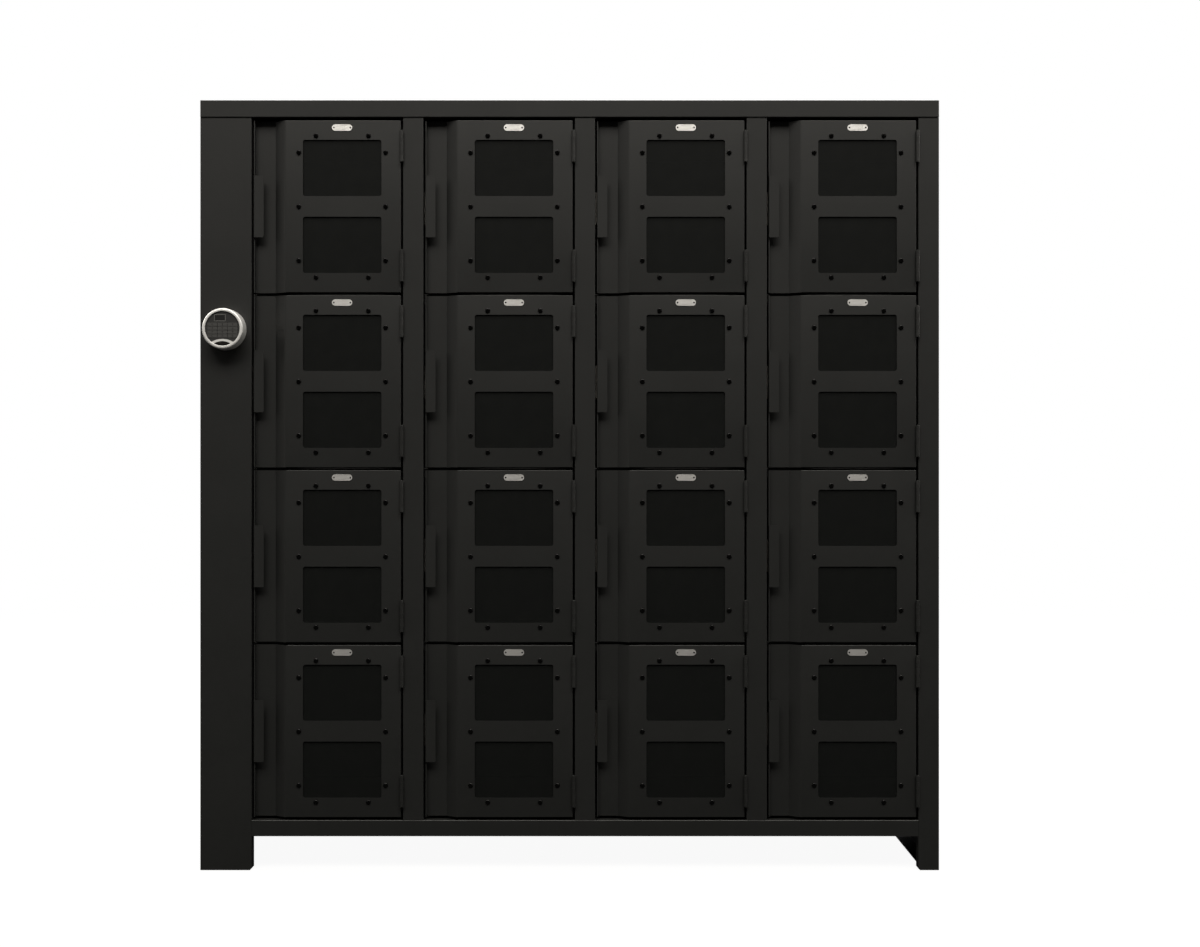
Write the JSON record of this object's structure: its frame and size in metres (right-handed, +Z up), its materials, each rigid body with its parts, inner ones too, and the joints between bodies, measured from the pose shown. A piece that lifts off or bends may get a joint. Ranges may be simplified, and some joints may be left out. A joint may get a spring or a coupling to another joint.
{
  "type": "multi-tier locker",
  "caption": "Free-standing steel locker with tiers of windowed doors on side hinges, recessed pulls and a round keypad on a wide control column.",
  "frame": {"origin": "centre of the bottom of the overall box, on the floor", "axes": "+Z up, +X to the right of a person facing the doors, the doors face -Y"},
  "size_m": [1.9032, 0.652, 1.9827],
  "materials": {
    "powder_coat": "fine textured charcoal powder coat",
    "liner": "fine textured charcoal powder coat",
    "hinge_steel": "satin charcoal paint",
    "pin_steel": "dark plated",
    "latch_zinc": "zinc plated",
    "keypad_silver": "satin silver",
    "keypad_black": "gloss black",
    "key_grey": "matte dark grey",
    "controller_grey": "light grey paint",
    "window_tint": "gloss, dark tint"
  },
  "bodies": {
    "cabinet": {"top_panel": "powder_coat", "side_panel_left": "powder_coat", "side_panel_right": "powder_coat", "back_panel": "powder_coat", "control_column": "powder_coat", "right_post": "powder_coat", "mullions": "powder_coat", "base_panel": "powder_coat", "dividers": "liner", "shelves": "liner", "frame_hinge_leaves": "hinge_steel", "hinge_pins": "pin_steel", "latches": "latch_zinc", "keypad_housing": "keypad_silver", "keypad_face": "keypad_black", "controller_box": "controller_grey"},
    "door_r1c1": {"door_r1c1": "powder_coat", "window_r1c1": "window_tint"},
    "door_r1c2": {"door_r1c2": "powder_coat", "window_r1c2": "window_tint"},
    "door_r1c3": {"door_r1c3": "powder_coat", "window_r1c3": "window_tint"},
    "door_r1c4": {"door_r1c4": "powder_coat", "window_r1c4": "window_tint"},
    "door_r2c1": {"door_r2c1": "powder_coat", "window_r2c1": "window_tint"},
    "door_r2c2": {"door_r2c2": "powder_coat", "window_r2c2": "window_tint"},
    "door_r2c3": {"door_r2c3": "powder_coat", "window_r2c3": "window_tint"},
    "door_r2c4": {"door_r2c4": "powder_coat", "window_r2c4": "window_tint"},
    "door_r3c1": {"door_r3c1": "powder_coat", "window_r3c1": "window_tint"},
    "door_r3c2": {"door_r3c2": "powder_coat", "window_r3c2": "window_tint"},
    "door_r3c3": {"door_r3c3": "powder_coat", "window_r3c3": "window_tint"},
    "door_r3c4": {"door_r3c4": "powder_coat", "window_r3c4": "window_tint"},
    "door_r4c1": {"door_r4c1": "powder_coat", "window_r4c1": "window_tint"},
    "door_r4c2": {"door_r4c2": "powder_coat", "window_r4c2": "window_tint"},
    "door_r4c3": {"door_r4c3": "powder_coat", "window_r4c3": "window_tint"},
    "door_r4c4": {"door_r4c4": "powder_coat", "window_r4c4": "window_tint"},
    "key_r1c1": {"key_r1c1": "key_grey"},
    "key_r1c2": {"key_r1c2": "key_grey"},
    "key_r1c3": {"key_r1c3": "key_grey"},
    "key_r2c1": {"key_r2c1": "key_grey"},
    "key_r2c2": {"key_r2c2": "key_grey"},
    "key_r2c3": {"key_r2c3": "key_grey"},
    "key_r3c1": {"key_r3c1": "key_grey"},
    "key_r3c2": {"key_r3c2": "key_grey"},
    "key_r3c3": {"key_r3c3": "key_grey"},
    "key_r4c1": {"key_r4c1": "key_grey"},
    "key_r4c2": {"key_r4c2": "key_grey"},
    "key_r4c3": {"key_r4c3": "key_grey"}
  },
  "joints": [
    {"name": "door_r1c1_hinge", "type": "hinge", "parent": "cabinet", "child": "door_r1c1", "pos_m": [-0.43185, -0.2892, 1.7096], "axis": [0, 0, 1], "range_deg": [0, 110]},
    {"name": "door_r1c2_hinge", "type": "hinge", "parent": "cabinet", "child": "door_r1c2", "pos_m": [0.01065, -0.2892, 1.7096], "axis": [0, 0, 1], "range_deg": [0, 110]},
    {"name": "door_r1c3_hinge", "type": "hinge", "parent": "cabinet", "child": "door_r1c3", "pos_m": [0.45315, -0.2892, 1.7096], "axis": [0, 0, 1], "range_deg": [0, 110]},
    {"name": "door_r1c4_hinge", "type": "hinge", "parent": "cabinet", "child": "door_r1c4", "pos_m": [0.89565, -0.2892, 1.7096], "axis": [0, 0, 1], "range_deg": [0, 110]},
    {"name": "door_r2c1_hinge", "type": "hinge", "parent": "cabinet", "child": "door_r2c1", "pos_m": [-0.43185, -0.2892, 1.259], "axis": [0, 0, 1], "range_deg": [0, 110]},
    {"name": "door_r2c2_hinge", "type": "hinge", "parent": "cabinet", "child": "door_r2c2", "pos_m": [0.01065, -0.2892, 1.259], "axis": [0, 0, 1], "range_deg": [0, 110]},
    {"name": "door_r2c3_hinge", "type": "hinge", "parent": "cabinet", "child": "door_r2c3", "pos_m": [0.45315, -0.2892, 1.259], "axis": [0, 0, 1], "range_deg": [0, 110]},
    {"name": "door_r2c4_hinge", "type": "hinge", "parent": "cabinet", "child": "door_r2c4", "pos_m": [0.89565, -0.2892, 1.259], "axis": [0, 0, 1], "range_deg": [0, 110]},
    {"name": "door_r3c1_hinge", "type": "hinge", "parent": "cabinet", "child": "door_r3c1", "pos_m": [-0.43185, -0.2892, 0.8084], "axis": [0, 0, 1], "range_deg": [0, 110]},
    {"name": "door_r3c2_hinge", "type": "hinge", "parent": "cabinet", "child": "door_r3c2", "pos_m": [0.01065, -0.2892, 0.8084], "axis": [0, 0, 1], "range_deg": [0, 110]},
    {"name": "door_r3c3_hinge", "type": "hinge", "parent": "cabinet", "child": "door_r3c3", "pos_m": [0.45315, -0.2892, 0.8084], "axis": [0, 0, 1], "range_deg": [0, 110]},
    {"name": "door_r3c4_hinge", "type": "hinge", "parent": "cabinet", "child": "door_r3c4", "pos_m": [0.89565, -0.2892, 0.8084], "axis": [0, 0, 1], "range_deg": [0, 110]},
    {"name": "door_r4c1_hinge", "type": "hinge", "parent": "cabinet", "child": "door_r4c1", "pos_m": [-0.43185, -0.2892, 0.3578], "axis": [0, 0, 1], "range_deg": [0, 110]},
    {"name": "door_r4c2_hinge", "type": "hinge", "parent": "cabinet", "child": "door_r4c2", "pos_m": [0.01065, -0.2892, 0.3578], "axis": [0, 0, 1], "range_deg": [0, 110]},
    {"name": "door_r4c3_hinge", "type": "hinge", "parent": "cabinet", "child": "door_r4c3", "pos_m": [0.45315, -0.2892, 0.3578], "axis": [0, 0, 1], "range_deg": [0, 110]},
    {"name": "door_r4c4_hinge", "type": "hinge", "parent": "cabinet", "child": "door_r4c4", "pos_m": [0.89565, -0.2892, 0.3578], "axis": [0, 0, 1], "range_deg": [0, 110]},
    {"name": "key_r1c1_press", "type": "slide", "parent": "cabinet", "child": "key_r1c1", "axis": [0, 1, 0], "range_m": [0, 0.0008], "stiffness_N_per_m": 300},
    {"name": "key_r1c2_press", "type": "slide", "parent": "cabinet", "child": "key_r1c2", "axis": [0, 1, 0], "range_m": [0, 0.0008], "stiffness_N_per_m": 300},
    {"name": "key_r1c3_press", "type": "slide", "parent": "cabinet", "child": "key_r1c3", "axis": [0, 1, 0], "range_m": [0, 0.0008], "stiffness_N_per_m": 300},
    {"name": "key_r2c1_press", "type": "slide", "parent": "cabinet", "child": "key_r2c1", "axis": [0, 1, 0], "range_m": [0, 0.0008], "stiffness_N_per_m": 300},
    {"name": "key_r2c2_press", "type": "slide", "parent": "cabinet", "child": "key_r2c2", "axis": [0, 1, 0], "range_m": [0, 0.0008], "stiffness_N_per_m": 300},
    {"name": "key_r2c3_press", "type": "slide", "parent": "cabinet", "child": "key_r2c3", "axis": [0, 1, 0], "range_m": [0, 0.0008], "stiffness_N_per_m": 300},
    {"name": "key_r3c1_press", "type": "slide", "parent": "cabinet", "child": "key_r3c1", "axis": [0, 1, 0], "range_m": [0, 0.0008], "stiffness_N_per_m": 300},
    {"name": "key_r3c2_press", "type": "slide", "parent": "cabinet", "child": "key_r3c2", "axis": [0, 1, 0], "range_m": [0, 0.0008], "stiffness_N_per_m": 300},
    {"name": "key_r3c3_press", "type": "slide", "parent": "cabinet", "child": "key_r3c3", "axis": [0, 1, 0], "range_m": [0, 0.0008], "stiffness_N_per_m": 300},
    {"name": "key_r4c1_press", "type": "slide", "parent": "cabinet", "child": "key_r4c1", "axis": [0, 1, 0], "range_m": [0, 0.0008], "stiffness_N_per_m": 300},
    {"name": "key_r4c2_press", "type": "slide", "parent": "cabinet", "child": "key_r4c2", "axis": [0, 1, 0], "range_m": [0, 0.0008], "stiffness_N_per_m": 300},
    {"name": "key_r4c3_press", "type": "slide", "parent": "cabinet", "child": "key_r4c3", "axis": [0, 1, 0], "range_m": [0, 0.0008], "stiffness_N_per_m": 300}
  ]
}
